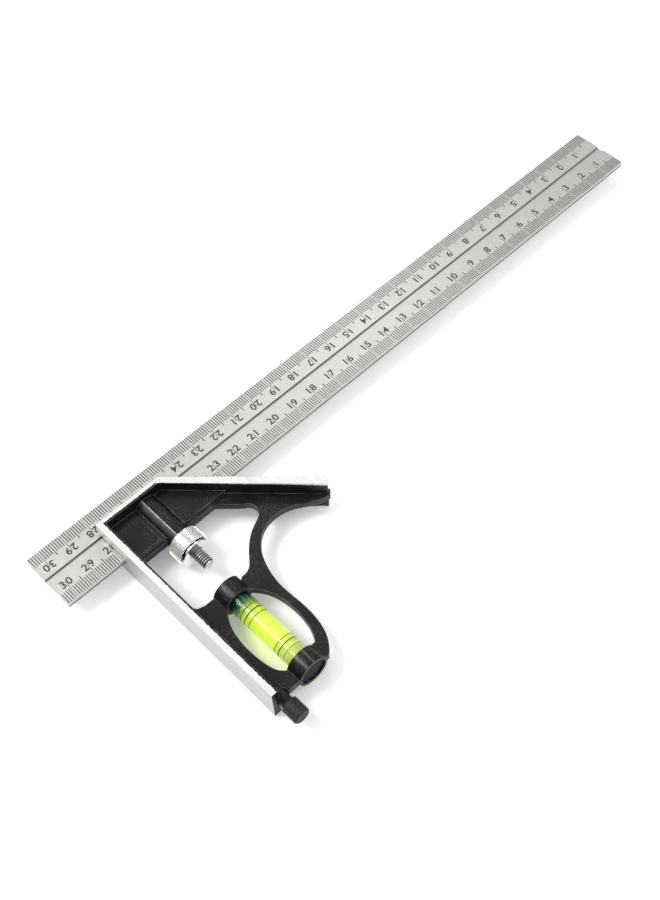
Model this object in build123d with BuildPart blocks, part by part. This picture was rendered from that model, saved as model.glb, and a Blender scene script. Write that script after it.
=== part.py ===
from build123d import *
import math
import os

# Combination square: 300 mm metric blade, cast head with 90 and 45 degree faces,
# clamp bolt with knurled nut, spirit vial and a scriber stowed in the leg.
# Millimetres. The origin is the corner where the 90 degree face (X = 0) meets the
# blade's lower edge (Y = 0) on the blade's mid plane (Z = 0).
# +X runs along the blade, +Y across it away from the leg, +Z up.

# ---- driving dimensions ------------------------------------------------------
blade_length = 304.8
blade_width = 25.0
blade_thick = 2.2
blade_end_x = 279.3
blade_corner_r = 0.6
groove_centre_y = 12.2
groove_width = 3.0
groove_depth = 0.8

head_half = 8.1
head_top_y = 14.8
leg_end_y = -79.0
leg_flange = 3.0
top_flange = 2.4
mitre_flange = 2.6
mitre_flange_tip = 3.5    # the flange thickens towards its tip
mitre_sum = 43.6          # X + Y everywhere on the 45 degree face
tip_x = 73.2
nose_start = 1.2          # where the web's nose leaves the tip's end face, from the outer corner
nose_length = 2.6
nose_reach = 0.8
web_half = 1.5
block_half = 2.5
pad_half = 3.2
near_pad_end_x = 14.2
far_pad_start_x = 24.6
near_pad_bottom_y = -3.9
far_pad_bottom_y = -4.9
block_bottom_y = -4.4
web_edge_y = -5.4
slot_gap = 0.05
cut_past = 1.0            # how far a cut runs past the face it opens

bolt_x = 20.5
bolt_body_r = 3.7
bolt_bore_r = 3.76
bolt_shoulder_y = -3.0
bolt_top_y = 13.6
bolt_travel = 0.25
pocket_top_y = 14.1
clamp_boss_r = 5.1
clamp_boss_end_y = -7.6
seam_width = 0.5
seam_angle = 18           # the casting's seam on the clamp boss, degrees from its top
tongue_width = 2.4
tongue_clearance = 0.1    # over the groove's floor
stud_r = 2.5
stud_end_y = -22.9
thread_pitch = 1.0
thread_depth = 0.45
thread_crest = 0.1
stud_chamfer = 0.3

nut_r = 6.65
nut_back_y = -7.65
nut_front_y = -14.75
nut_chamfer = 0.85        # on the knurled rim's back edge
nut_front_chamfer = 0.15
nut_groove_r = 5.0        # ring groove between the knurled rim and the collar
nut_groove_width = 0.6
nut_collar_r = 6.05
nut_collar_end_y = -15.95
nut_collar_chamfer = 0.2
nut_bore_r = 2.55
nut_bore_chamfer = 0.3
knurl_count = 56
knurl_groove_r = 0.24

spring_r = 3.05
spring_wire_r = 0.3
spring_pitch = 1.15

vial_x = 18.3
vial_r = 4.55
vial_top_y = -37.0
vial_end_y = -76.0
cavity_r = 3.5
cavity_top_y = -39.0
cavity_end_y = -74.2
vial_bore_r = 4.6
upper_boss_r = 5.95
upper_boss_y = (-34.4, -41.4)
lower_boss_r = 6.3
lower_boss_y = (-72.8, -79.4)
retainer_r = 5.3
retainer_depth = 0.7
bubble_y = -69.3
bubble_length = 7.4
bubble_r = 1.55
bubble_film = 0.15        # liquid left between the bubble and the tube

scriber_x = 4.4
scriber_pin_r = 1.0
scriber_bore_r = 1.06
scriber_tip_y = -38.0
scriber_tip_length = 4.0
scriber_point_r = 0.1
bore_end_y = -36.5
knob_r = 3.35
knob_near_y = -81.6
knob_far_y = -88.7
knob_chamfer = 0.5
pin_seat = 2.0            # how far the pin stops short of the knob's end
neck_r = 2.3
neck_bore_r = 2.4
neck_end_y = -75.0
neck_bore_end_y = -74.5
end_pocket_r = 3.0
end_pocket_depth = 2.0


def y_plane(y, x=0.0):
    """Plane across the Y axis, facing -Y, centred on the axis X = x, Z = 0."""
    return Plane(origin=(x, y, 0), x_dir=(1, 0, 0), z_dir=(0, -1, 0))


def mitre_x(y, inset=0.0):
    """X of the 45 degree face at height y, moved square inwards by inset."""
    return mitre_sum - y - inset * math.sqrt(2)


def tip_point(inwards, outwards=0.0):
    """Point at the arm's tip, measured from the outer corner of its end face."""
    step_in = inwards / math.sqrt(2)
    step_out = outwards / math.sqrt(2)
    return (tip_x - step_in + step_out, mitre_sum - tip_x - step_in - step_out)


# ---- outlines of the head ----------------------------------------------------
under_arm = [
    (69.4, -32.5), (63.4, -29.9), (57.8, -26.5), (50.6, -24.9), (44.4, -26.1),
    (38.6, -30.6), (34.3, -38.7), (32.6, -47.5), (32.9, -57.0), (32.6, -65.5),
    (30.4, -73.4), (25.9, -79.0),
]
neck_side = [
    (45.6, -13.4), (48.1, -16.7), (47.4, -19.8), (43.8, -22.1), (39.4, -24.4),
    (35.4, -27.7), (32.4, -31.0), (29.4, -34.3), (25.2, -35.3),
]
window_left = [
    (12.4, -42.0), (8.9, -49.0), (7.7, -57.7), (8.2, -65.5), (10.4, -71.8), (12.4, -73.4),
]
window_right = [(26.0, -72.0), (28.5, -67.0), (29.8, -57.8), (28.3, -48.0), (23.7, -41.0)]


def head_outline():
    """Outer edge of the web, walked from the leg's end round the datum corner."""
    Polyline(
        under_arm[-1], (0, leg_end_y), (0, head_top_y), (mitre_x(head_top_y), head_top_y),
        tip_point(0), tip_point(nose_start), tip_point(nose_start + 0.3, nose_reach),
        tip_point(nose_start + nose_length, nose_reach), under_arm[0],
    )
    Spline(*under_arm)


def opening_outline():
    """Large hand opening between the leg, the clamp block, the arm and the vial frame."""
    Polyline(
        (23.6, -36.5), (12.6, -36.5), (12.6, -34.9), (8.3, -34.8), (5.6, -34.0),
        (4.4, -32.2), (4.4, web_edge_y), (37.4, web_edge_y), neck_side[0],
    )
    Spline(*neck_side)
    Line(neck_side[-1], (23.6, -36.5))


def window_outline():
    """Almond shaped window round the vial."""
    Spline(*window_left)
    Line(window_left[-1], window_right[0])
    Spline(*window_right)
    Line(window_right[-1], window_left[0])


# ---- head casting ------------------------------------------------------------
with BuildPart() as head_casting:
    # web of the frame
    with BuildSketch(Plane.XY.offset(-web_half)):
        with BuildLine():
            head_outline()
        make_face()
        with BuildLine():
            opening_outline()
        make_face(mode=Mode.SUBTRACT)
        with BuildLine():
            window_outline()
        make_face(mode=Mode.SUBTRACT)
    extrude(amount=2 * web_half)

    # block that carries the blade's slot, with a raised pad on each side of the clamp boss
    with BuildSketch(Plane.XY.offset(-block_half)):
        with BuildLine():
            Polyline(
                (0, block_bottom_y), (0, head_top_y), (mitre_x(head_top_y), head_top_y),
                (mitre_x(block_bottom_y), block_bottom_y), close=True,
            )
        make_face()
    extrude(amount=2 * block_half)
    with BuildSketch(Plane.XY.offset(-pad_half)):
        with BuildLine():
            Polyline(
                (0, near_pad_bottom_y), (0, head_top_y), (near_pad_end_x, head_top_y),
                (near_pad_end_x, near_pad_bottom_y), close=True,
            )
        make_face()
        with BuildLine():
            Polyline(
                (far_pad_start_x, far_pad_bottom_y), (far_pad_start_x, head_top_y),
                (mitre_x(head_top_y), head_top_y),
                (mitre_x(far_pad_bottom_y), far_pad_bottom_y), close=True,
            )
        make_face()
    extrude(amount=2 * pad_half)

    # wide flanges: leg, top edge and 45 degree arm
    with BuildSketch(Plane.XY.offset(-head_half)):
        with BuildLine():
            Polyline(
                (0, leg_end_y), (0, head_top_y), (mitre_x(head_top_y), head_top_y),
                tip_point(0), tip_point(mitre_flange_tip),
                (mitre_x(head_top_y - top_flange, mitre_flange), head_top_y - top_flange),
                (leg_flange, head_top_y - top_flange), (leg_flange, leg_end_y), close=True,
            )
        make_face()
    extrude(amount=2 * head_half)

    # boss of the clamp bolt with its casting seams, bosses of the vial
    with BuildSketch(y_plane(pocket_top_y, bolt_x)):
        Circle(clamp_boss_r)
        for angle in (90 + seam_angle, 270 - seam_angle):
            with PolarLocations(clamp_boss_r - seam_width / 5, 1, start_angle=angle):
                RegularPolygon(seam_width, 4)
    extrude(amount=pocket_top_y - clamp_boss_end_y)
    for radius, (near_y, far_y) in ((upper_boss_r, upper_boss_y), (lower_boss_r, lower_boss_y)):
        with BuildSketch(y_plane(near_y, vial_x)):
            Circle(radius)
        extrude(amount=near_y - far_y)

    # slot for the blade, open on the far side
    with BuildSketch(Plane.XY.offset(-blade_thick / 2 - slot_gap)):
        with BuildLine():
            Polyline(
                (-cut_past, -slot_gap), (-cut_past, head_top_y + cut_past),
                (mitre_sum + cut_past, head_top_y + cut_past), (mitre_sum + cut_past, -slot_gap),
                close=True,
            )
        make_face()
    extrude(amount=blade_thick + 2 * slot_gap, mode=Mode.SUBTRACT)

    # bore of the clamp bolt, blind at the top edge
    with BuildSketch(y_plane(pocket_top_y, bolt_x)):
        Circle(bolt_bore_r)
    extrude(amount=pocket_top_y - clamp_boss_end_y + cut_past, mode=Mode.SUBTRACT)

    # bore of the vial, blind in the upper boss, with the wider seat of its retainer
    with BuildSketch(y_plane(vial_top_y + slot_gap, vial_x)):
        Circle(vial_bore_r)
    extrude(amount=vial_top_y - lower_boss_y[1] + cut_past, mode=Mode.SUBTRACT)
    with BuildSketch(y_plane(vial_end_y, vial_x)):
        Circle(retainer_r + slot_gap)
    extrude(amount=vial_end_y - lower_boss_y[1] + cut_past, mode=Mode.SUBTRACT)

    # bore of the scriber with the wider seat of its neck and the pocket at the leg's end
    with BuildSketch(y_plane(bore_end_y, scriber_x)):
        Circle(scriber_bore_r)
    extrude(amount=bore_end_y - leg_end_y + cut_past, mode=Mode.SUBTRACT)
    with BuildSketch(y_plane(neck_bore_end_y, scriber_x)):
        Circle(neck_bore_r)
    extrude(amount=neck_bore_end_y - leg_end_y + cut_past, mode=Mode.SUBTRACT)
    with BuildSketch(y_plane(leg_end_y + end_pocket_depth, scriber_x)):
        Circle(end_pocket_r)
    extrude(amount=end_pocket_depth + cut_past, mode=Mode.SUBTRACT)

# ---- blade -------------------------------------------------------------------
with BuildPart() as blade:
    with BuildSketch(Plane.XY.offset(-blade_thick / 2)):
        with Locations((blade_end_x - blade_length / 2, blade_width / 2)):
            RectangleRounded(blade_length, blade_width, blade_corner_r)
    extrude(amount=blade_thick)
    # groove for the clamp bolt's tongue, along the upper face
    with BuildSketch(Plane.XY.offset(blade_thick / 2 - groove_depth)):
        with Locations((blade_end_x - blade_length / 2, groove_centre_y)):
            Rectangle(blade_length + 2 * cut_past, groove_width)
    extrude(amount=groove_depth + cut_past, mode=Mode.SUBTRACT)

# ---- clamp bolt: half-round body over the blade, tongue, threaded stud ---------
tongue_low_y = groove_centre_y - groove_width / 2 + slot_gap
body_flat_z = blade_thick / 2 + slot_gap
with BuildPart() as clamp_bolt:
    with BuildSketch(y_plane(bolt_top_y, bolt_x)):
        Circle(bolt_body_r)
    extrude(amount=bolt_top_y - bolt_shoulder_y)
    # the half beside and under the blade is cut away, with room for the bolt's travel
    with BuildSketch(Plane.XY.offset(body_flat_z)):
        with Locations((bolt_x, bolt_top_y / 2)):
            Rectangle(3 * bolt_body_r, bolt_top_y + 4 * bolt_travel)
    extrude(amount=-3 * bolt_body_r, mode=Mode.SUBTRACT)
    # tongue that hooks the blade's groove
    with BuildSketch(Plane.XY.offset(body_flat_z)):
        with Locations((bolt_x, tongue_low_y + tongue_width / 2)):
            Rectangle(1.6 * bolt_body_r, tongue_width)
    extrude(amount=-(groove_depth - tongue_clearance))
    # threaded stud, crests and roots as one turned profile
    turns = int((bolt_shoulder_y - stud_end_y) / thread_pitch) - 1
    thread_start_y = stud_end_y + turns * thread_pitch + 0.6
    thread_points = [(0, bolt_shoulder_y), (stud_r - thread_depth, bolt_shoulder_y)]
    for turn in range(turns):
        crest_y = thread_start_y - (turn + 0.5) * thread_pitch
        root_y = thread_start_y - (turn + 1.0) * thread_pitch
        thread_points.append((stud_r, crest_y))
        thread_points.append((stud_r, crest_y - thread_crest))
        thread_points.append((stud_r - thread_depth, root_y))
    thread_points.append((stud_r - thread_depth - stud_chamfer, stud_end_y))
    thread_points.append((0, stud_end_y))
    with BuildSketch(Plane.XY):
        with BuildLine():
            Polyline(*[(bolt_x + r, y) for r, y in thread_points], close=True)
        make_face()
    revolve(axis=Axis((bolt_x, 0, 0), (0, 1, 0)))

# ---- clamp spring: pushes the bolt away from the nut ---------------------------
spring_length = bolt_shoulder_y - nut_back_y - 2 * spring_wire_r - 2 * slot_gap
with BuildPart() as clamp_spring:
    with BuildLine() as coil:
        Helix(
            pitch=spring_pitch, height=spring_length, radius=spring_r,
            center=(bolt_x, bolt_shoulder_y - spring_wire_r - slot_gap, 0), direction=(0, -1, 0),
        )
    with BuildSketch(Plane(origin=coil.line @ 0, z_dir=coil.line % 0)):
        Circle(spring_wire_r)
    sweep(path=coil.line, is_frenet=True)

# ---- knurled clamp nut -------------------------------------------------------
with BuildPart() as clamp_nut:
    with BuildSketch(Plane.XY):
        with BuildLine():
            Polyline(
                (bolt_x + nut_bore_r, nut_back_y), (bolt_x + nut_r - nut_chamfer, nut_back_y),
                (bolt_x + nut_r, nut_back_y - nut_chamfer),
                (bolt_x + nut_r, nut_front_y + nut_front_chamfer),
                (bolt_x + nut_r - nut_front_chamfer, nut_front_y),
                (bolt_x + nut_groove_r, nut_front_y),
                (bolt_x + nut_groove_r, nut_front_y - nut_groove_width),
                (bolt_x + nut_collar_r, nut_front_y - nut_groove_width),
                (bolt_x + nut_collar_r, nut_collar_end_y + nut_collar_chamfer),
                (bolt_x + nut_collar_r - nut_collar_chamfer, nut_collar_end_y),
                (bolt_x + nut_bore_r + nut_bore_chamfer, nut_collar_end_y),
                (bolt_x + nut_bore_r, nut_collar_end_y + nut_bore_chamfer), close=True,
            )
        make_face()
    revolve(axis=Axis((bolt_x, 0, 0), (0, 1, 0)))
    # straight knurl
    with BuildSketch(y_plane(nut_back_y + cut_past, bolt_x)):
        with PolarLocations(nut_r, knurl_count):
            Circle(knurl_groove_r)
    extrude(amount=cut_past + nut_back_y - nut_front_y + nut_groove_width / 2, mode=Mode.SUBTRACT)

# ---- spirit vial -------------------------------------------------------------
with BuildPart() as vial_tube:
    with BuildSketch(y_plane(vial_top_y, vial_x)):
        Circle(vial_r)
    extrude(amount=vial_top_y - vial_end_y)
    with BuildSketch(y_plane(cavity_top_y, vial_x)):
        Circle(cavity_r)
    extrude(amount=cavity_top_y - vial_end_y + cut_past, mode=Mode.SUBTRACT)

with BuildPart() as vial_liquid:
    with BuildSketch(y_plane(cavity_top_y, vial_x)):
        Circle(cavity_r)
    extrude(amount=cavity_top_y - cavity_end_y)
    # air bubble: a long rounded void resting against the top of the cavity
    bubble_z = cavity_r - bubble_r - bubble_film
    bubble_axis = Axis((vial_x, bubble_y, bubble_z), (0, 1, 0))
    with BuildSketch(Plane.XY.offset(bubble_z)):
        with Locations((vial_x, bubble_y)):
            SlotOverall(bubble_length, 2 * bubble_r, rotation=90)
            with Locations((-bubble_r, 0)):
                Rectangle(2 * bubble_r, bubble_length, mode=Mode.SUBTRACT)
    revolve(axis=bubble_axis, mode=Mode.SUBTRACT)

with BuildPart() as vial_plug:
    with BuildSketch(y_plane(cavity_end_y, vial_x)):
        Circle(cavity_r)
    extrude(amount=cavity_end_y - vial_end_y)

with BuildPart() as vial_retainer:
    with BuildSketch(y_plane(vial_end_y - slot_gap, vial_x)):
        Circle(retainer_r)
    extrude(amount=vial_end_y - slot_gap - lower_boss_y[1] - retainer_depth)

# ---- scriber -----------------------------------------------------------------
with BuildPart() as scriber_pin:
    with BuildSketch(Plane.XY):
        with BuildLine():
            Polyline(
                (scriber_x, scriber_tip_y), (scriber_x + scriber_point_r, scriber_tip_y),
                (scriber_x + scriber_pin_r, scriber_tip_y - scriber_tip_length),
                (scriber_x + scriber_pin_r, knob_far_y + pin_seat), (scriber_x, knob_far_y + pin_seat),
                close=True,
            )
        make_face()
    revolve(axis=Axis((scriber_x, 0, 0), (0, 1, 0)))

with BuildPart() as scriber_knob:
    with BuildSketch(Plane.XY):
        with BuildLine():
            Polyline(
                (scriber_x + scriber_pin_r, neck_end_y), (scriber_x + neck_r, neck_end_y),
                (scriber_x + neck_r, knob_near_y),
                (scriber_x + knob_r - knob_chamfer, knob_near_y),
                (scriber_x + knob_r, knob_near_y - knob_chamfer),
                (scriber_x + knob_r, knob_far_y + knob_chamfer),
                (scriber_x + knob_r - knob_chamfer, knob_far_y), (scriber_x, knob_far_y),
                (scriber_x, knob_far_y + pin_seat),
                (scriber_x + scriber_pin_r, knob_far_y + pin_seat),
                close=True,
            )
        make_face()
    revolve(axis=Axis((scriber_x, 0, 0), (0, 1, 0)))

# ---- labels and files --------------------------------------------------------
os.makedirs("parts", exist_ok=True)

head_casting.part.label = "head_casting"
export_step(head_casting.part, "parts/head_casting.step")
blade.part.label = "blade"
export_step(blade.part, "parts/blade.step")
clamp_bolt.part.label = "clamp_bolt"
export_step(clamp_bolt.part, "parts/clamp_bolt.step")
clamp_spring.part.label = "clamp_spring"
export_step(clamp_spring.part, "parts/clamp_spring.step")
clamp_nut.part.label = "clamp_nut"
export_step(clamp_nut.part, "parts/clamp_nut.step")
vial_tube.part.label = "vial_tube"
export_step(vial_tube.part, "parts/vial_tube.step")
vial_liquid.part.label = "vial_liquid"
export_step(vial_liquid.part, "parts/vial_liquid.step")
vial_plug.part.label = "vial_plug"
export_step(vial_plug.part, "parts/vial_plug.step")
vial_retainer.part.label = "vial_retainer"
export_step(vial_retainer.part, "parts/vial_retainer.step")
scriber_pin.part.label = "scriber_pin"
export_step(scriber_pin.part, "parts/scriber_pin.step")
scriber_knob.part.label = "scriber_knob"
export_step(scriber_knob.part, "parts/scriber_knob.step")
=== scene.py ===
import math

import bmesh
import bpy
from mathutils import Matrix, Vector


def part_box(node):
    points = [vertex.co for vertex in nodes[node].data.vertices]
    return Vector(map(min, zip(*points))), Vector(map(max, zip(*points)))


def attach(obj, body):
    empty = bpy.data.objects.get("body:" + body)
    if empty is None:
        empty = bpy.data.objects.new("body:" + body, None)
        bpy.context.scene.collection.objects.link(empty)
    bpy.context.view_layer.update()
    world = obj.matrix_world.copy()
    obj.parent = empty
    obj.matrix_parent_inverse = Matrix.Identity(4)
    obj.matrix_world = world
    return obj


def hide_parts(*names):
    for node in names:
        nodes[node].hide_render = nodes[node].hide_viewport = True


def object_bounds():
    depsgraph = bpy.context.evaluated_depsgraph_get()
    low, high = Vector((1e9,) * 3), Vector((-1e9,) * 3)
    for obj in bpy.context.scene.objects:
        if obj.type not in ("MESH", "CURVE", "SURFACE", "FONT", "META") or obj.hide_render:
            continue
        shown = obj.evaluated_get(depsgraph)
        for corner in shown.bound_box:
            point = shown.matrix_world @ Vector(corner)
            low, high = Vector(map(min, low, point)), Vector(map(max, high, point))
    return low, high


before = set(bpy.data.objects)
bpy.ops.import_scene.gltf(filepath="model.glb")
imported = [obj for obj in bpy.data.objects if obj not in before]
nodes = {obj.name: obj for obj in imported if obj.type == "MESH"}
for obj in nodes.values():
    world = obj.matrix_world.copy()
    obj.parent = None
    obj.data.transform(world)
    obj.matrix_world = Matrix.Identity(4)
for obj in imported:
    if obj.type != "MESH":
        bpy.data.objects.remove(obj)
cad_box = [list(corner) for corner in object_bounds()]
MM = 0.001
scene = bpy.context.scene
scene.view_settings.view_transform = "Standard"


# ---- small helpers -----------------------------------------------------------
def link(obj, body, *replaced):
    """Puts a new object in the scene, on its body, standing for the named CAD nodes."""
    scene.collection.objects.link(obj)
    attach(obj, body)
    if replaced:
        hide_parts(*replaced)
    return obj


def mesh_object(name, bm, material):
    """A flat shaded object made from a bmesh, which it uses up."""
    mesh = bpy.data.meshes.new(name)
    bm.to_mesh(mesh)
    bm.free()
    mesh.materials.append(material)
    return bpy.data.objects.new(name, mesh)


def soften(obj, width, segments):
    """Joins the CAD faces and rounds their sharp edges."""
    weld = obj.modifiers.new("weld", "WELD")
    weld.merge_threshold = 1e-6
    bevel = obj.modifiers.new("round_edges", "BEVEL")
    bevel.width = width
    bevel.segments = segments
    bevel.limit_method = "ANGLE"
    bevel.angle_limit = math.radians(32)


def ring_line(name, y, half, axis_x, radius, material, steps=96):
    """A thin raised band of ink round the line X = axis_x, Z = 0. Sizes in millimetres."""
    inner, outer = radius - 0.02, radius + 0.03
    section = [(inner, y - half), (outer, y - half), (outer, y + half), (inner, y + half), (inner, y - half)]
    bm = bmesh.new()
    rings = []
    for ring_radius, ring_y in section:
        ring = []
        for i in range(steps):
            angle = 2 * math.pi * i / steps
            x = axis_x + ring_radius * math.cos(angle)
            z = ring_radius * math.sin(angle)
            ring.append(bm.verts.new((x * MM, ring_y * MM, z * MM)))
        rings.append(ring)
    for ring, following in zip(rings, rings[1:]):
        for i in range(steps):
            j = (i + 1) % steps
            bm.faces.new((ring[i], ring[j], following[j], following[i]))
    bmesh.ops.recalc_face_normals(bm, faces=bm.faces)
    return mesh_object(name, bm, material)


# ---- material helpers ----------------------------------------------------------
class Shader:
    """A material, and short calls that build its node network. Lengths are in metres."""

    def __init__(self, name, color, roughness, metallic=0.0):
        self.material = bpy.data.materials.new(name)
        self.material.use_nodes = True
        self.tree = self.material.node_tree
        self.bsdf = self.tree.nodes["Principled BSDF"]
        self.set("Base Color", (*color, 1.0))
        self.set("Roughness", roughness)
        self.set("Metallic", metallic)

    def set(self, socket, value):
        self.bsdf.inputs[socket].default_value = value

    def node(self, kind, inputs=None, **settings):
        n = self.tree.nodes.new(kind)
        for key, value in settings.items():
            setattr(n, key, value)
        for key, value in (inputs or {}).items():
            if isinstance(value, bpy.types.NodeSocket):
                self.tree.links.new(value, n.inputs[key])
            else:
                n.inputs[key].default_value = value
        return n

    def math(self, operation, a, b=0.0, c=None):
        inputs = {0: a, 1: b} if c is None else {0: a, 1: b, 2: c}
        return self.node("ShaderNodeMath", inputs, operation=operation).outputs[0]

    def all_of(self, *masks):
        """One where every mask is one."""
        product = masks[0]
        for mask in masks[1:]:
            product = self.math("MULTIPLY", product, mask)
        return product

    def between(self, value, low, high):
        """One where the value lies between the two limits."""
        return self.all_of(self.math("GREATER_THAN", value, low), self.math("LESS_THAN", value, high))

    def offset(self, value, centre):
        """How far the value is from the centre, either way."""
        return self.math("ABSOLUTE", self.math("SUBTRACT", value, centre))

    def ramp(self, value, stops, interpolation="LINEAR"):
        n = self.node("ShaderNodeValToRGB", {"Fac": value})
        ramp = n.color_ramp
        ramp.interpolation = interpolation
        while len(ramp.elements) < len(stops):
            ramp.elements.new(0.5)
        for element, (position, color) in zip(ramp.elements, stops):
            element.position = position
            element.color = (*color, 1.0) if len(color) == 3 else color
        return n.outputs["Color"]

    def grey_ramp(self, value, stops):
        return self.ramp(value, [(p, (v, v, v)) for p, v in stops])

    def mix(self, factor, a, b):
        """Colour a where the factor is 0, b where it is 1."""
        a, b = (c if isinstance(c, bpy.types.NodeSocket) else (*c, 1.0) for c in (a, b))
        return self.node("ShaderNodeMix", {0: factor, 6: a, 7: b}, data_type="RGBA").outputs[2]

    def blend(self, factor, a, b):
        """Number a where the factor is 0, b where it is 1."""
        return self.node("ShaderNodeMix", {0: factor, 2: a, 3: b}, data_type="FLOAT").outputs[0]

    def map_range(self, value, low, high):
        """0 at the low limit, 1 at the high one, level past both."""
        return self.node("ShaderNodeMapRange", {
            "Value": value, "From Min": low, "From Max": high, "To Min": 0.0, "To Max": 1.0}).outputs[0]

    def place(self, scale=(1, 1, 1)):
        """Object coordinates, stretched."""
        coords = self.node("ShaderNodeTexCoord").outputs["Object"]
        return self.node("ShaderNodeMapping", {"Vector": coords, "Scale": scale}).outputs[0]

    def axes(self, vector):
        return self.node("ShaderNodeSeparateXYZ", {"Vector": vector}).outputs

    def from_axis(self, x, z, axis_x):
        """Distance from the line X = axis_x, Z = 0."""
        across = self.math("SUBTRACT", x, axis_x)
        return self.math("SQRT", self.math("MULTIPLY_ADD", z, z, self.math("MULTIPLY", across, across)))

    def noise(self, vector, scale, detail=4.0, roughness=0.55):
        n = self.node("ShaderNodeTexNoise", {
            "Vector": vector, "Scale": scale, "Detail": detail, "Roughness": roughness})
        return n.outputs["Fac"]

    def bump(self, height, strength, distance, normal=None):
        n = self.node("ShaderNodeBump", {"Height": height, "Strength": strength, "Distance": distance})
        if normal is not None:
            self.tree.links.new(normal, n.inputs["Normal"])
        self.tree.links.new(n.outputs[0], self.bsdf.inputs["Normal"])

    def edges(self, radius):
        """The normal rounded over near edges, and how far it turns from the true one."""
        rounded = self.node("ShaderNodeBevel", {"Radius": radius}, samples=6).outputs[0]
        plain = self.node("ShaderNodeNewGeometry").outputs["Normal"]
        product = self.node("ShaderNodeVectorMath", {0: rounded, 1: plain}, operation="DOT_PRODUCT")
        alike = product.outputs["Value"]
        return rounded, self.grey_ramp(self.math("SUBTRACT", 1.0, alike), [(0.012, 0.0), (0.11, 1.0)])

    def feed(self, socket, output):
        self.tree.links.new(output, self.bsdf.inputs[socket])


# ---- places on the solids that the finishes follow ------------------------------
nut_low, nut_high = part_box("clamp_nut")
tube_low, tube_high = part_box("vial_tube")
blade_low, blade_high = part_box("blade")
head_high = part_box("head_casting")[1]
bolt_axis = (nut_low[0] + nut_high[0]) / 2
tube_axis = (tube_low[0] + tube_high[0]) / 2

MITRE_SUM = 43.6 * MM               # X + Y everywhere on the 45 degree face
LAND_WIDTH = 2.3 * MM               # bare metal along the leg's edge and the top edge
FLANGE_SKIN = 0.12 * MM             # depth of the bare metal on the flanges' edges
FACE_SKIN = 0.06 * MM               # and on the working faces
ARM = (29.0 * MM, 73.0 * MM)        # X range of the slanted arm
SLOT_SHADOW_HALF = 1.65 * MM               # half height of the painted shadow line at the blade's slot
SEAM_ANGLE = math.radians(18)       # the seam on the clamp boss, from the boss's top
CLAMP_BOSS_R = (4.9 * MM, 5.6 * MM)
CLAMP_BOSS_END = -8.0 * MM
UPPER_BOSS = (-41.4 * MM, -34.4 * MM)
LOWER_BOSS = (-79.4 * MM, -72.8 * MM)
GROOVE_WALL = (13.1 * MM, 13.8 * MM)
WINDOW_CENTRE = (tube_axis + 4.0 * MM, -54.0 * MM)


# ---- materials -----------------------------------------------------------------
def bare_metal(s, x, y, side, ragged):
    """Two masks: all the ground metal of the head, and its part on the working faces."""
    from_top = s.math("SUBTRACT", head_high[1], y)
    from_mitre = s.math("MULTIPLY", s.math("SUBTRACT", MITRE_SUM, s.math("ADD", x, y)), math.sqrt(0.5))
    # the leg's edge and the top edge
    depth = s.math("MINIMUM", x, s.math("MINIMUM", s.math("ADD", from_top, 0.7 * MM), from_mitre))
    on_land = s.all_of(
        s.math("GREATER_THAN", side, head_high[2] - FLANGE_SKIN),
        s.math("LESS_THAN", s.math("ADD", depth, ragged), LAND_WIDTH))
    # all of the arm's edge, reaching further round it towards the tip
    along_arm = s.map_range(x, *ARM)
    reach = s.math("MULTIPLY_ADD", along_arm, 0.95 * MM, 2.75 * MM)
    wrap = s.math("MULTIPLY_ADD", along_arm, -0.95 * MM, head_high[2] - FLANGE_SKIN)
    on_arm = s.all_of(
        s.math("LESS_THAN", from_mitre, reach),
        s.math("GREATER_THAN", s.math("ADD", side, ragged), wrap))
    # the working faces, black round the blade's slot as a painted shadow of the slot's gap, and more so below
    # its groove
    on_face = s.math("LESS_THAN", s.math("MINIMUM", x, s.math("MINIMUM", from_top, from_mitre)), FACE_SKIN)
    slot_shadow_reach = s.math("MULTIPLY_ADD", s.math("LESS_THAN", y, 14.3 * MM), 0.7 * MM, SLOT_SHADOW_HALF)
    slot_shadow = s.all_of(s.math("LESS_THAN", side, slot_shadow_reach), s.math("GREATER_THAN", y, -0.3 * MM))
    on_face = s.math("MULTIPLY", on_face, s.math("SUBTRACT", 1.0, slot_shadow))
    return s.math("MAXIMUM", s.math("MAXIMUM", on_land, on_arm), on_face), on_face


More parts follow.
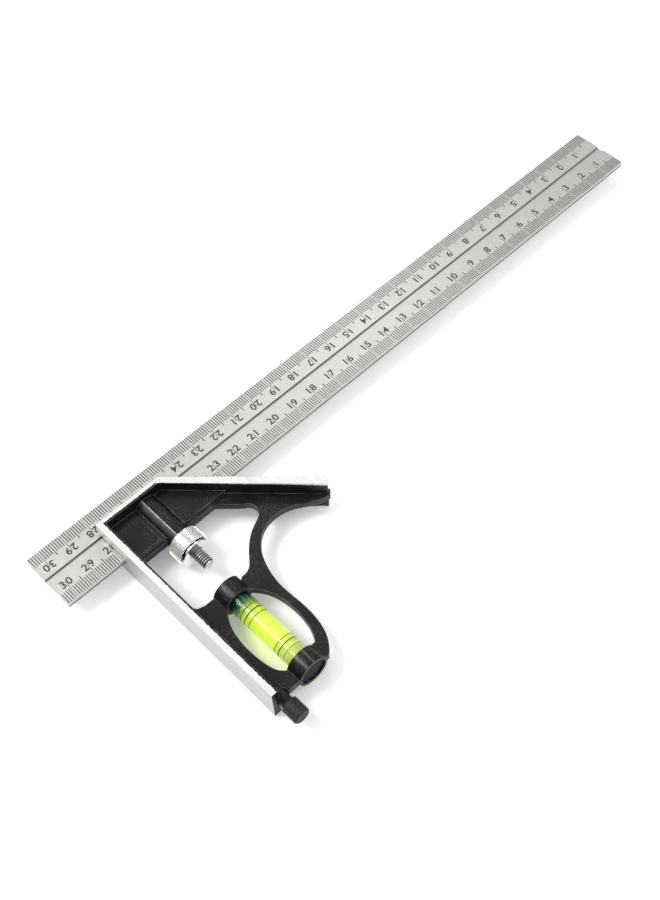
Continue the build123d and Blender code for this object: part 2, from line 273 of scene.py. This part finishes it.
def scuffed_lines(s, paint, place, x, y, side, ragged):
    """Painted highlights over the paint: a sheen beside the clamp boss's seam, a pale line on the seam that is
    partly worn paint and partly painted highlight, and lines along the vial's bosses.
    """
    wear_and_highlight_breakup = s.grey_ramp(s.noise(place, 1100.0, 2.0), [(0.38, 0.35), (0.60, 1.0)])
    past_bolt = s.math("SUBTRACT", x, bolt_axis)
    across = s.math("ADD", s.math("MULTIPLY", past_bolt, math.cos(SEAM_ANGLE)),
                    s.math("MULTIPLY", side, math.sin(SEAM_ANGLE)))
    wavy = s.math("MULTIPLY_ADD", ragged, 0.3, across)
    on_seam = s.math("LESS_THAN", s.math("ABSOLUTE", wavy), 0.27 * MM)
    on_boss = s.all_of(
        s.between(s.from_axis(x, side, bolt_axis), *CLAMP_BOSS_R),
        s.math("GREATER_THAN", y, CLAMP_BOSS_END))
    # painted sheen on the boss beside the seam, then the pale seam line: partly worn paint, partly painted
    # highlight
    painted_sheen = s.grey_ramp(s.math("MULTIPLY", across, -380.0), [(0.0, 0.0), (0.05, 1.0), (0.45, 0.35), (1.0, 0.0)])
    paint = s.mix(s.math("MULTIPLY", s.all_of(on_boss, painted_sheen), 0.75), paint, (0.12, 0.112, 0.12))
    paint = s.mix(s.all_of(on_boss, on_seam, wear_and_highlight_breakup), paint, (0.55, 0.53, 0.53))

    # painted highlights: one line along the upper vial boss, two along the lower: offset from the axis, half
    # width, strength
    past_tube = s.math("SUBTRACT", x, tube_axis)
    raised = s.math("GREATER_THAN", side, 4.6 * MM)
    for boss, centre, half_width, strength in (
            (UPPER_BOSS, -1.34, 0.55, 0.45), (LOWER_BOSS, -2.26, 0.3, 0.75), (LOWER_BOSS, 0.88, 0.25, 0.75)):
        away = s.offset(past_tube, centre * MM)
        highlight_band = s.grey_ramp(s.math("MULTIPLY", away, 0.5 / (half_width * MM)), [(0.3, 1.0), (1.0, 0.0)])
        highlight_band = s.all_of(highlight_band, s.between(y, *boss), raised, wear_and_highlight_breakup)
        paint = s.mix(s.math("MULTIPLY", highlight_band, strength), paint, (0.13, 0.122, 0.13))
    return paint


def head_material(name):
    """Satin black paint over the casting, ground bare on the faces and the flange edges."""
    s = Shader(name, (0.01, 0.0095, 0.01), 0.42)
    s.set("Specular IOR Level", 0.22)
    place = s.place()
    x, y, z = s.axes(place)
    side = s.math("ABSOLUTE", z)
    ragged = s.math("MULTIPLY", s.math("SUBTRACT", s.noise(place, 900.0, 3.0), 0.5), 0.9 * MM)
    bare, on_face = bare_metal(s, x, y, side, ragged)

    # paint: fine orange peel, coarser casting waves, dusty specks in patches
    fine = s.noise(place, 3200.0, 3.0, 0.6)
    waves = s.noise(place, 420.0, 2.0)
    specks = s.grey_ramp(s.noise(place, 1900.0, 2.0, 0.7), [(0.57, 0.0), (0.66, 1.0)])
    patches = s.grey_ramp(s.noise(place, 75.0, 2.0), [(0.45, 0.0), (0.60, 1.0)])
    tone = s.mix(waves, (0.0045, 0.0041, 0.0046), (0.0115, 0.0102, 0.0112))
    paint = s.mix(s.math("MULTIPLY", s.all_of(specks, patches), 0.8), tone, (0.10, 0.095, 0.095))
    paint = scuffed_lines(s, paint, place, x, y, side, ragged)

    # paler lines along the edges, concave ones too: partly rubbed paint, partly painted highlight
    rounded, edge = s.edges(0.27 * MM)
    rub_and_highlight = s.grey_ramp(s.noise(place, 190.0, 3.0, 0.6), [(0.34, 0.0), (0.58, 1.0)])
    paint = s.mix(s.all_of(rub_and_highlight, edge), paint, (0.30, 0.295, 0.29))

    # bare metal: grinding lines along the faces, slight grey clouding
    grind = s.noise(s.place((700.0, 60.0, 5200.0)), 1.0, 3.0, 0.6)
    cloud = s.noise(place, 160.0, 3.0)
    lines = s.grey_ramp(grind, [(0.35, 0.0), (0.75, 0.6)])
    metal = s.mix(cloud, (0.68, 0.68, 0.67), (0.80, 0.80, 0.79))
    metal = s.mix(lines, metal, (0.58, 0.58, 0.57))
    # painted shade: the working faces get a darker copy of the lands' ground metal
    shaded_face_metal = s.mix(lines, (0.48, 0.48, 0.475), (0.34, 0.34, 0.335))
    metal = s.mix(s.math("MULTIPLY", on_face, 0.8), metal, shaded_face_metal)

    s.feed("Base Color", s.mix(bare, paint, metal))
    s.feed("Metallic", s.math("MULTIPLY", bare, 0.7))
    paint_rough = s.math("MULTIPLY_ADD", fine, 0.20, 0.22)
    metal_rough = s.math("MULTIPLY_ADD", grind, 0.20, 0.34)
    s.feed("Roughness", s.blend(bare, paint_rough, metal_rough))
    paint_height = s.math("MULTIPLY_ADD", waves, 1.2, s.math("MULTIPLY", fine, 0.5))
    height = s.blend(bare, paint_height, s.math("MULTIPLY", grind, 0.25))
    s.bump(height, 0.4, 0.12 * MM, rounded)
    return s.material


def blade_material():
    """Satin stainless steel, finely brushed along its length, with painted shade on the groove's wall and on the
    lower half of the long edges.
    """
    s = Shader("satin_stainless", (0.55, 0.54, 0.52), 0.42, 0.8)
    place = s.place()
    y, z = s.axes(place)[1:]
    brushed = s.noise(s.place((35.0, 5200.0, 5200.0)), 1.0, 3.0, 0.65)
    mottled = s.noise(place, 520.0, 4.0, 0.6)
    cloud = s.noise(place, 24.0, 2.0)
    tone = s.mix(cloud, (0.50, 0.49, 0.468), (0.57, 0.56, 0.54))
    tone = s.mix(s.grey_ramp(brushed, [(0.3, 0.0), (0.8, 0.5)]), tone, (0.42, 0.41, 0.39))
    tone = s.mix(s.grey_ramp(mottled, [(0.45, 0.0), (0.75, 0.35)]), tone, (0.67, 0.66, 0.64))
    # painted shade on the groove's wall, and on the lower half of the long edges
    groove_wall_shade = s.all_of(s.between(y, *GROOVE_WALL), s.between(z, 0.1 * MM, blade_high[2] - 0.03 * MM))
    from_edge = s.math("MINIMUM", y, s.math("SUBTRACT", blade_high[1], y))
    edge = s.all_of(s.math("LESS_THAN", from_edge, 0.09 * MM), s.math("LESS_THAN", z, -0.25 * MM))
    tone = s.mix(groove_wall_shade, tone, (0.34, 0.333, 0.32))
    tone = s.mix(edge, tone, (0.10, 0.10, 0.095))
    s.feed("Base Color", tone)
    s.feed("Roughness", s.math("MULTIPLY_ADD", mottled, 0.18, 0.34))
    s.bump(s.math("ADD", brushed, s.math("MULTIPLY", mottled, 0.6)), 0.22, 0.03 * MM)
    return s.material


def ink_material(name):
    """Black filling of the engraved marks, slightly uneven."""
    s = Shader(name, (0.02, 0.02, 0.02), 0.5)
    place = s.place()
    patch = s.grey_ramp(s.noise(place, 1500.0, 3.0), [(0.4, 0.0), (0.8, 0.6)])
    s.feed("Base Color", s.mix(patch, (0.018, 0.017, 0.016), (0.10, 0.098, 0.092)))
    s.feed("Roughness", s.math("MULTIPLY_ADD", patch, 0.3, 0.4))
    s.bump(patch, 0.1, 0.02 * MM)
    return s.material


def nickel_material():
    """Bright nickel plate, with painted shade in the knurl and in the ring groove, and a painted dark reflection
    on the back chamfer.
    """
    s = Shader("bright_nickel", (0.80, 0.795, 0.78), 0.2, 1.0)
    place = s.place()
    x, y, z = s.axes(place)
    radius = s.from_axis(x, z, bolt_axis)
    nut_r = (nut_high[2] - nut_low[2]) / 2
    cloud = s.noise(place, 300.0, 3.0)
    pits = s.grey_ramp(s.noise(place, 2600.0, 2.0, 0.7), [(0.66, 0.0), (0.78, 1.0)])
    tone = s.mix(cloud, (0.84, 0.835, 0.82), (0.93, 0.925, 0.91))
    tone = s.mix(s.math("MULTIPLY", pits, 0.3), tone, (0.5, 0.49, 0.47))
    # the rim ends 1.25 mm behind the collar's front, and the ring groove is between them
    on_rim = s.math("GREATER_THAN", y, nut_low[1] + 1.25 * MM)
    knurl_valley_shade = s.all_of(on_rim, s.between(radius, nut_r - 0.4 * MM, nut_r - 0.05 * MM))
    from_ring = s.offset(y, nut_low[1] + 0.9 * MM)
    ring_groove_shade = s.all_of(s.math("LESS_THAN", from_ring, 0.27 * MM), s.math("LESS_THAN", radius, 5.9 * MM))
    back_chamfer_reflection = s.math("GREATER_THAN", y, nut_high[1] - 0.7 * MM)
    # painted shade in the knurl and the ring groove, painted dark reflection on the back chamfer
    tone = s.mix(knurl_valley_shade, tone, (0.24, 0.236, 0.225))
    tone = s.mix(s.math("MAXIMUM", ring_groove_shade, back_chamfer_reflection), tone, (0.012, 0.012, 0.012))
    s.feed("Base Color", tone)
    s.feed("Roughness", s.math("MULTIPLY_ADD", on_rim, 0.22, s.math("MULTIPLY_ADD", cloud, 0.06, 0.05)))
    s.bump(s.math("MULTIPLY", cloud, 0.6), 0.10, 0.04 * MM)
    return s.material


def stud_material():
    """Dull grey zinc plated steel, with painted shade at the roots of the thread."""
    s = Shader("zinc_steel", (0.45, 0.44, 0.43), 0.4, 0.9)
    place = s.place()
    x, y, z = s.axes(place)
    radius = s.from_axis(x, z, bolt_axis)
    # painted shade: dark at the thread's roots, bright at the crests
    crest = s.map_range(radius, 2.15 * MM, 2.47 * MM)
    crest = s.math("MAXIMUM", crest, s.math("LESS_THAN", radius, 1.95 * MM))
    cloud = s.noise(place, 500.0, 4.0)
    fine = s.noise(place, 3000.0, 3.0)
    bright = s.mix(cloud, (0.52, 0.515, 0.50), (0.74, 0.735, 0.72))
    s.feed("Base Color", s.mix(crest, (0.045, 0.044, 0.042), bright))
    s.feed("Roughness", s.math("MULTIPLY_ADD", fine, 0.25, 0.26))
    s.bump(fine, 0.15, 0.03 * MM)
    return s.material


def steel_material(name, dark, light, rough):
    """Dull grey steel, darker in patches."""
    s = Shader(name, light, rough, 1.0)
    place = s.place()
    cloud = s.noise(place, 500.0, 4.0)
    fine = s.noise(place, 3000.0, 3.0)
    s.feed("Base Color", s.mix(cloud, dark, light))
    s.feed("Roughness", s.math("MULTIPLY_ADD", fine, 0.25, rough - 0.12))
    s.bump(fine, 0.15, 0.03 * MM)
    return s.material


def plastic_material(name, dark, light, rough, speckle):
    """Matte black plastic with a fine moulded grain and a few light specks."""
    s = Shader(name, dark, rough)
    s.set("Specular IOR Level", 0.22)
    place = s.place()
    grain = s.noise(place, 2600.0, 3.0, 0.6)
    cloud = s.noise(place, 350.0, 2.0)
    specks = s.grey_ramp(s.noise(place, 1700.0, 2.0, 0.7), [(0.60, 0.0), (0.72, 1.0)])
    tone = s.mix(cloud, dark, light)
    s.feed("Base Color", s.mix(s.math("MULTIPLY", specks, speckle), tone, (0.11, 0.108, 0.105)))
    s.feed("Roughness", s.math("MULTIPLY_ADD", grain, 0.25, rough - 0.1))
    s.bump(grain, 0.35, 0.06 * MM)
    return s.material


def tube_material():
    """Clear acrylic with very slight waviness."""
    s = Shader("clear_acrylic", (0.97, 1.0, 0.86), 0.06)
    s.set("Transmission Weight", 1.0)
    s.set("Specular IOR Level", 0.25)
    s.set("IOR", 1.3)
    place = s.place()
    wave = s.noise(place, 260.0, 2.0)
    s.feed("Roughness", s.math("MULTIPLY_ADD", wave, 0.08, 0.06))
    s.bump(wave, 0.05, 0.03 * MM)
    return s.material


def liquid_material():
    """Fluorescent yellow-green spirit with a painted glow, deep green in the upper boss's shade, pale round the
    bubble.
    """
    s = Shader("fluorescent_spirit", (0.7, 1.0, 0.03), 0.1)
    s.set("Specular IOR Level", 0.2)
    place = s.place()
    x, y, z = s.axes(place)
    swirl = s.math("SUBTRACT", s.noise(place, 180.0, 2.0), 0.5)
    along = s.map_range(s.math("MULTIPLY_ADD", swirl, 1.2 * MM, y), -74.0 * MM, -39.0 * MM)
    tone = s.ramp(along, [
        (0.00, (0.52, 0.62, 0.14)), (0.16, (0.72, 0.80, 0.28)), (0.30, (0.72, 0.85, 0.12)),
        (0.50, (0.74, 0.87, 0.05)), (0.74, (0.71, 0.83, 0.05)), (0.80, (0.38, 0.60, 0.05)),
        (0.85, (0.04, 0.28, 0.11)), (0.90, (0.00, 0.12, 0.07)), (1.00, (0.00, 0.03, 0.02)),
    ])
    # a painted highlight: brighter core between the two sets of lines, fading out 3.3 mm from the axis
    core_highlight = s.math("SUBTRACT", 1.0, s.math("MULTIPLY", s.offset(x, tube_axis), 300.0))
    core_highlight = s.all_of(s.math("MAXIMUM", core_highlight, 0.0), s.between(along, 0.3, 0.78))
    tone = s.mix(s.math("MULTIPLY", core_highlight, 0.6), tone, (0.84, 0.95, 0.16))
    s.feed("Base Color", tone)
    # painted glow standing in for the fluorescence, none in the upper boss's shade
    s.feed("Emission Color", tone)
    s.feed("Emission Strength", s.grey_ramp(along, [
        (0.0, 0.22), (0.2, 0.34), (0.35, 0.46), (0.76, 0.45), (0.84, 0.10), (0.9, 0.0)]))
    return s.material


def floor_material():
    """Plain pale table. Under the vial's window it is shaded, and tinted by light through the spirit."""
    s = Shader("studio_floor", (0.93, 0.93, 0.93), 0.6)
    s.set("Specular IOR Level", 0.1)
    s.set("Emission Color", (1.0, 1.0, 1.0, 1.0))
    s.set("Emission Strength", 0.22)
    place = s.place()
    x, y, z = s.axes(place)
    across = s.math("MULTIPLY", s.math("SUBTRACT", x, WINDOW_CENTRE[0]), 52.0)
    down = s.math("MULTIPLY", s.math("SUBTRACT", y, WINDOW_CENTRE[1]), 32.0)
    reach = s.math("SQRT", s.math("MULTIPLY_ADD", across, across, s.math("MULTIPLY", down, down)))
    in_window = s.grey_ramp(reach, [(0.45, 1.0), (1.0, 0.0)])
    leftward = s.math("MULTIPLY_ADD", s.math("SUBTRACT", x, tube_axis + 3.0 * MM), -150.0, 0.5)
    tinted = s.grey_ramp(leftward, [(0.2, 0.0), (0.8, 1.0)])
    shade = s.mix(tinted, (0.74, 0.74, 0.75), (0.86, 1.0, 0.46))
    plain = s.mix(s.noise(place, 3.0, 2.0), (0.92, 0.92, 0.92), (0.94, 0.94, 0.94))
    s.feed("Base Color", s.mix(in_window, plain, shade))
    return s.material


mat_head = head_material("painted_head")
mat_blade = blade_material()
mat_ink = ink_material("engraved_fill")
mat_ring = ink_material("ring_ink")
mat_nickel = nickel_material()
mat_stud = stud_material()
mat_spring = steel_material("spring_wire", (0.35, 0.35, 0.34), (0.55, 0.55, 0.54), 0.3)
mat_pin = steel_material("hardened_steel", (0.25, 0.25, 0.25), (0.45, 0.45, 0.45), 0.3)
mat_knob = plastic_material("matte_black_knob", (0.014, 0.014, 0.014), (0.024, 0.024, 0.024), 0.5, 0.7)
mat_cap = plastic_material("black_cap", (0.005, 0.005, 0.005), (0.009, 0.009, 0.008), 0.6, 0.3)
mat_tube = tube_material()
mat_liquid = liquid_material()

# ---- CAD nodes: materials and softened edges -----------------------------------
for name, material in (
    ("head_casting", mat_head), ("blade", mat_blade), ("clamp_bolt", mat_stud),
    ("clamp_spring", mat_spring), ("clamp_nut", mat_nickel), ("vial_tube", mat_tube),
    ("vial_liquid", mat_liquid), ("vial_plug", mat_tube), ("vial_retainer", mat_cap),
    ("scriber_pin", mat_pin), ("scriber_knob", mat_knob),
):
    for slot in nodes[name].material_slots:
        slot.material = material
soften(nodes["head_casting"], 0.28 * MM, 3)
soften(nodes["blade"], 0.10 * MM, 2)
soften(nodes["scriber_knob"], 0.18 * MM, 2)
soften(nodes["vial_retainer"], 0.15 * MM, 2)

# ---- graduations and numbers on the blade ----------------------------------------
ink_z = blade_high[2] + 0.004 * MM
width = blade_high[1] - blade_low[1]
BLADE_MARKS = 304                   # whole millimetres on the blade
INK_MARGIN = 0.12 * MM              # between the long edges and the marks
DIGIT_HEIGHT = 3.25 * MM
LOWER_FOOT = 5.9 * MM               # feet of the numbers, from the nearer long edge
UPPER_FOOT = 6.2 * MM


def mark_size(mark):
    """Length and half width of a graduation, longer at 5 and longest at 10."""
    if mark % 10 == 0:
        return 8.4 * MM, 0.12 * MM
    return (6.3 if mark % 5 == 0 else 4.9) * MM, 0.185 * MM


def graduations():
    """One short bar per millimetre along both edges."""
    bm = bmesh.new()
    for mark in range(1, BLADE_MARKS + 1):
        x = blade_high[0] - mark * MM
        length, half = mark_size(mark)
        for inner, outer in ((INK_MARGIN, length), (width - length, width - INK_MARGIN)):
            bm.faces.new([
                bm.verts.new((x + dx, blade_low[1] + y, ink_z))
                for dx, y in ((-half, inner), (half, inner), (half, outer), (-half, outer))
            ])
    return mesh_object("blade_graduations", bm, mat_ink)


def digit_mesh(digit):
    """A flat mesh of one digit, standing on Y = 0 and centred on X = 0."""
    curve = bpy.data.curves.new("digit", "FONT")
    curve.body = str(digit)
    curve.size = 1.0
    curve.offset = 0.022
    holder = bpy.data.objects.new("digit", curve)
    scene.collection.objects.link(holder)
    bpy.context.view_layer.update()
    shaped = holder.evaluated_get(bpy.context.evaluated_depsgraph_get())
    mesh = bpy.data.meshes.new_from_object(shaped)
    bpy.data.objects.remove(holder)
    xs = [v.co.x for v in mesh.vertices]
    ys = [v.co.y for v in mesh.vertices]
    scale = DIGIT_HEIGHT / (max(ys) - min(ys))
    centred = Matrix.Translation((-(min(xs) + max(xs)) / 2, -min(ys), 0))
    mesh.transform(Matrix.Diagonal((scale, scale, 1, 1)) @ centred)
    return mesh


def digit_places(mark):
    """The digits of a number and how far each stands to the right of its mark, in millimetres."""
    if mark < 10:
        return [(mark, 1.4)]
    return [(mark // 10, -1.15 if mark < 20 else -1.35), (mark % 10, 1.35)]


def numbers():
    """Centimetre numbers: upright along the lower edge, turned round along the upper one."""
    digits = [digit_mesh(digit) for digit in range(10)]
    bm = bmesh.new()
    for mark in range(1, 31):
        x = blade_high[0] - mark * 10 * MM
        for foot, turn in ((LOWER_FOOT, 0.0), (width - UPPER_FOOT, math.pi)):
            for digit, offset in digit_places(mark):
                stand = Matrix.Translation((x + math.cos(turn) * offset * MM, blade_low[1] + foot, ink_z))
                part = digits[digit].copy()
                part.transform(stand @ Matrix.Rotation(turn, 4, "Z"))
                bm.from_mesh(part)
                bpy.data.meshes.remove(part)
    return mesh_object("blade_numbers", bm, mat_ink)


link(graduations(), "blade")
link(numbers(), "blade")

# ---- ring lines round the vial ---------------------------------------------------
tube_r = (tube_high[2] - tube_low[2]) / 2 / MM
RING_LINES = ((-47.05, 0.17), (-49.2, 0.23), (-51.45, 0.15), (-64.4, 0.15), (-66.4, 0.21), (-68.95, 0.09))
for index, (ring_y, half_width) in enumerate(RING_LINES):
    line_name = "vial_line_%d" % (index + 1)
    link(ring_line(line_name, ring_y, half_width, tube_axis / MM, tube_r, mat_ring), "head")

# ---- floor, light and camera -----------------------------------------------------
def add_floor(half=3.0):
    bm = bmesh.new()
    corners = ((-half, -half), (half, -half), (half, half), (-half, half))
    bm.faces.new([bm.verts.new((x, y, cad_box[0][2])) for x, y in corners])
    floor = mesh_object("floor", bm, floor_material())
    scene.collection.objects.link(floor)


def add_world(strength):
    """An even pale studio, a little greyer towards the horizon."""
    world = bpy.data.worlds.new("studio")
    scene.world = world
    world.use_nodes = True
    tree = world.node_tree
    coords = tree.nodes.new("ShaderNodeTexCoord")
    split = tree.nodes.new("ShaderNodeSeparateXYZ")
    tree.links.new(coords.outputs["Generated"], split.inputs[0])
    ramp = tree.nodes.new("ShaderNodeValToRGB")
    horizon, zenith = ramp.color_ramp.elements
    horizon.color = (0.62, 0.62, 0.63, 1)
    zenith.position = 0.75
    zenith.color = (1.0, 1.0, 1.0, 1)
    tree.links.new(split.outputs[2], ramp.inputs[0])
    background = tree.nodes["Background"]
    tree.links.new(ramp.outputs[0], background.inputs[0])
    background.inputs[1].default_value = strength


def softbox(name, place, target, width, length, power):
    """A rectangular area light that faces its target."""
    light = bpy.data.lights.new(name, "AREA")
    light.shape = "RECTANGLE"
    light.size = width
    light.size_y = length
    light.energy = power
    lamp = bpy.data.objects.new(name, light)
    lamp.location = place
    lamp.rotation_euler = (Vector(target) - Vector(place)).to_track_quat("-Z", "Y").to_euler()
    scene.collection.objects.link(lamp)


def add_camera():
    """The photograph's view: from beyond the near end of the blade, high above the leg's side."""
    data = bpy.data.cameras.new("camera")
    data.lens = 53.51
    data.sensor_width = 36.0
    data.clip_start = 0.01
    camera = bpy.data.objects.new("camera", data)
    camera.location = (-0.09967, -0.2339, 0.41657)
    camera.rotation_euler = [math.radians(angle) for angle in (34.2548, 2.3053, -43.9433)]
    scene.collection.objects.link(camera)
    scene.camera = camera


add_floor()
add_world(0.80)
softbox("key_softbox", (-0.46, 0.52, 1.0), (0.04, 0.0, 0.0), 0.5, 0.5, 9.6)
softbox("fill_softbox", (0.9, -0.7, 1.0), (0.08, 0.0, 0.0), 0.9, 0.9, 4.0)
softbox("strip", (0.56, 0.50, 0.83), (0.02, -0.07, 0.0), 0.08, 0.3, 0.8)
add_camera()

# ---- last update of the view layer -------------------------------------------------
bpy.context.view_layer.update()
